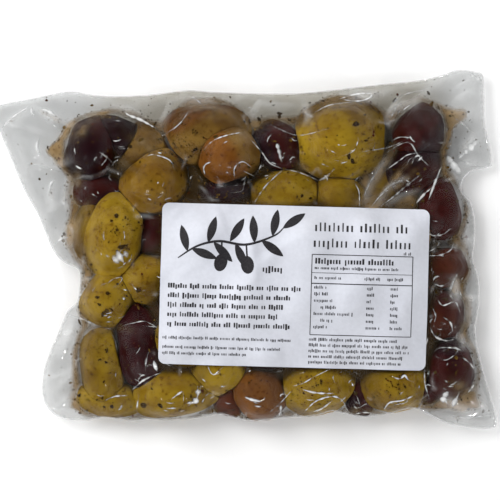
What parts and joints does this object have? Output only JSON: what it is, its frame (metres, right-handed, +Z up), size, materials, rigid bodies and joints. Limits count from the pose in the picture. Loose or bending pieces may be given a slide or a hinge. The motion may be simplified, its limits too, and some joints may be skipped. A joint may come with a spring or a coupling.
{
  "type": "vacuum pouch of marinated olives",
  "caption": "Clear vacuum-sealed pouch of mixed olives in herbed oil, lying flat with its white paper label up.",
  "frame": {"origin": "under the middle of the pouch's box, on the surface that it lies on", "axes": "+X along the pouch's long side, to the right as its label is read, +Y towards the label's top edge, +Z up out of the label"},
  "size_m": [0.187, 0.1336, 0.0292],
  "materials": {
    "film": "clear glossy film, drawn tight over green, brown and dark olives in cloudy oil",
    "label_paper": "satin white paper, softly creased",
    "ink": "flat black print on the label",
    "green_olive": "smooth moist yellow-green skin with brown flecks",
    "turning_olive": "smooth moist brown to amber skin with flecks",
    "dark_olive": "smooth moist maroon to black skin, finely wrinkled",
    "oil": "cloudy marinade, tan where it is shallow and brown where it is deep",
    "herbs": "dried herb and chilli flakes, matt"
  },
  "bodies": {
    "root": {"pouch": "film", "label": "label_paper"}
  },
  "joints": []
}
